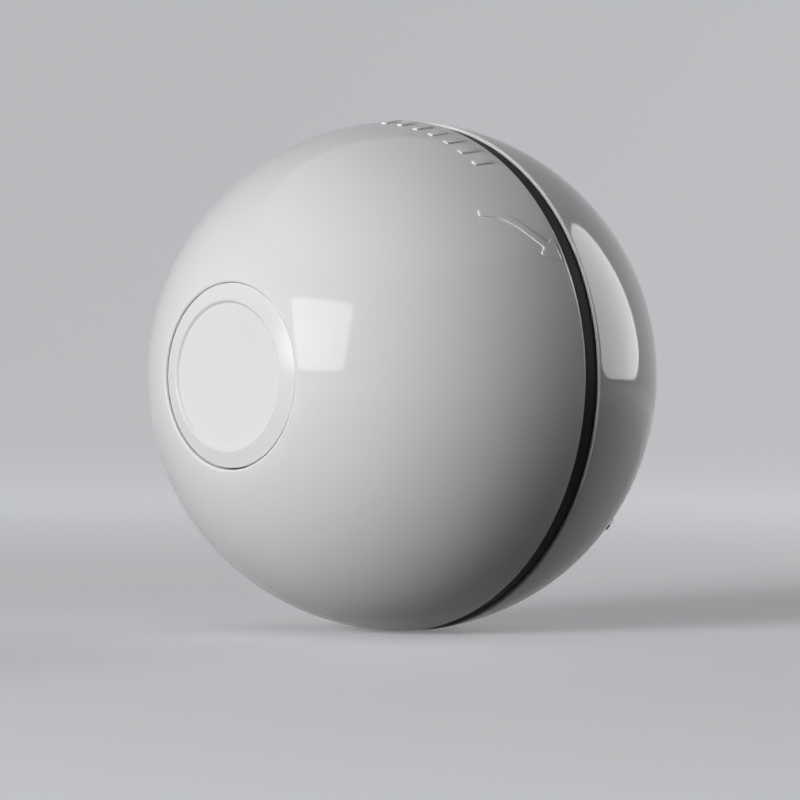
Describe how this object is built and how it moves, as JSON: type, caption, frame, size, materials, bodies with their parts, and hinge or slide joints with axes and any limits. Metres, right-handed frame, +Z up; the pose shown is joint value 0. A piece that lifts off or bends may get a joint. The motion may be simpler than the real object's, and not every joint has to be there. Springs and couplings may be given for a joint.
{
  "type": "self-rolling cat ball",
  "caption": "Hollow ball that rolls itself for cats: twist-together half shells over a black ring, with a weighted motor drum on a fixed axle.",
  "frame": {"origin": "centre of the ball, on the axle at the middle of the black ring", "axes": "+Y along the axle towards the fixed half, -Y towards the twist-off half, +Z up, drum hanging with its ballast at -Z"},
  "size_m": [0.064, 0.0608, 0.064],
  "materials": {
    "shell_white": "glossy moulded ABS",
    "cap_white": "glossy moulded ABS, sunk disc satin",
    "ring_black": "matte moulded plastic",
    "seal_rubber": "soft rubber",
    "axle_steel": "ground steel",
    "screw_steel": "blackened steel",
    "axle_gear_steel": "sintered steel",
    "clip_steel": "spring steel",
    "washer_nylon": "plain nylon",
    "bush_nylon": "plain nylon",
    "drum_grey": "fine-textured ABS",
    "bearing_bronze": "sintered bronze",
    "plate_white": "plain ABS",
    "pin_steel": "ground steel",
    "gear_nylon": "plain acetal",
    "motor_steel": "zinc-plated steel",
    "motor_cap_black": "moulded nylon",
    "terminal_brass": "tinned brass",
    "armature_copper": "wound copper on a steel stack",
    "pinion_brass": "machined brass",
    "cell_wrap": "blue-grey foil pouch",
    "pad_foam": "closed-cell foam",
    "ballast_steel": "oiled steel",
    "board_green": "solder mask",
    "port_steel": "plated steel",
    "tongue_black": "moulded plastic with contacts",
    "switch_black": "moulded plastic",
    "plunger_nylon": "plain nylon",
    "button_white": "glossy ABS",
    "lamp_lens": "clear epoxy lens",
    "signal_lens": "tinted epoxy lens",
    "chip_black": "moulded epoxy",
    "small_chip_tan": "ceramic with tinned ends",
    "lead_red": "soft insulation",
    "lead_black": "soft insulation"
  },
  "bodies": {
    "back_half": {"back_shell": "shell_white", "back_pole_cap": "cap_white", "mid_ring": "ring_black", "seal_ring": "seal_rubber", "axle": "axle_steel", "axle_screw": "screw_steel", "axle_gear": "axle_gear_steel", "axle_clip": "clip_steel", "thrust_washer": "washer_nylon"},
    "front_carrier": {"front_bush": "bush_nylon", "front_bush_clip": "clip_steel"},
    "front_half": {"front_shell": "shell_white", "front_pole_cap": "cap_white"},
    "drum": {"drum_tub": "drum_grey", "drum_cover": "drum_grey", "drum_screws": "screw_steel", "front_bearing": "bearing_bronze", "back_bearing": "bearing_bronze", "gear_plate": "plate_white", "gear_plate_screws": "screw_steel", "first_gear_pin": "pin_steel", "second_gear_pin": "pin_steel", "motor_can": "motor_steel", "motor_end_cap": "motor_cap_black", "motor_terminals": "terminal_brass", "motor_screws": "screw_steel", "battery_cell": "cell_wrap", "battery_pad": "pad_foam", "ballast": "ballast_steel", "circuit_board": "board_green", "board_screws": "screw_steel", "charge_socket": "port_steel", "charge_tongue": "tongue_black", "switch_body": "switch_black", "lamp": "lamp_lens", "signal_lamp": "signal_lens", "control_chip": "chip_black", "small_chips": "small_chip_tan", "motor_lead_red": "lead_red", "motor_lead_black": "lead_black", "cell_lead_red": "lead_red", "cell_lead_black": "lead_black"},
    "first_gear_body": {"first_gear": "gear_nylon"},
    "second_gear_body": {"second_gear": "gear_nylon"},
    "motor_rotor": {"motor_shaft": "pin_steel", "motor_armature": "armature_copper", "motor_pinion": "pinion_brass"},
    "button": {"power_button": "button_white", "switch_plunger": "plunger_nylon"}
  },
  "joints": [
    {"name": "drum_swing", "type": "hinge", "parent": "back_half", "child": "drum", "pos_m": [0, 0, 0], "axis": [0, 1, 0], "continuous": true},
    {"name": "second_gear_spin", "type": "hinge", "parent": "drum", "child": "second_gear_body", "pos_m": [0.00771, 0.01125, -0.00919], "axis": [0, 1, 0], "continuous": true},
    {"name": "first_gear_spin", "type": "hinge", "parent": "drum", "child": "first_gear_body", "pos_m": [-0.0041, 0.00915, -0.01128], "axis": [0, 1, 0], "continuous": true},
    {"name": "motor_spin", "type": "hinge", "parent": "drum", "child": "motor_rotor", "pos_m": [-0.01406, 0, -0.00553], "axis": [0, 1, 0], "continuous": true},
    {"name": "front_lift", "type": "slide", "parent": "back_half", "child": "front_carrier", "axis": [0, -1, 0], "range_m": [0, 0.03]},
    {"name": "front_twist", "type": "hinge", "parent": "front_carrier", "child": "front_half", "pos_m": [0, -0.02, 0], "axis": [0, -1, 0], "range_deg": [0, 360]},
    {"name": "button_press", "type": "slide", "parent": "drum", "child": "button", "axis": [0, 1, 0], "range_m": [0, 0.0005], "stiffness_N_per_m": 600, "springref_m": -0.0015}
  ],
  "couplings": [
    {"joint": "second_gear_spin", "follows": "drum_swing", "ratio": 3},
    {"joint": "first_gear_spin", "follows": "drum_swing", "ratio": -9},
    {"joint": "motor_spin", "follows": "drum_swing", "ratio": 32.4},
    {"joint": "front_lift", "follows": "front_twist", "m_per_rad": 0.0047746}
  ]
}
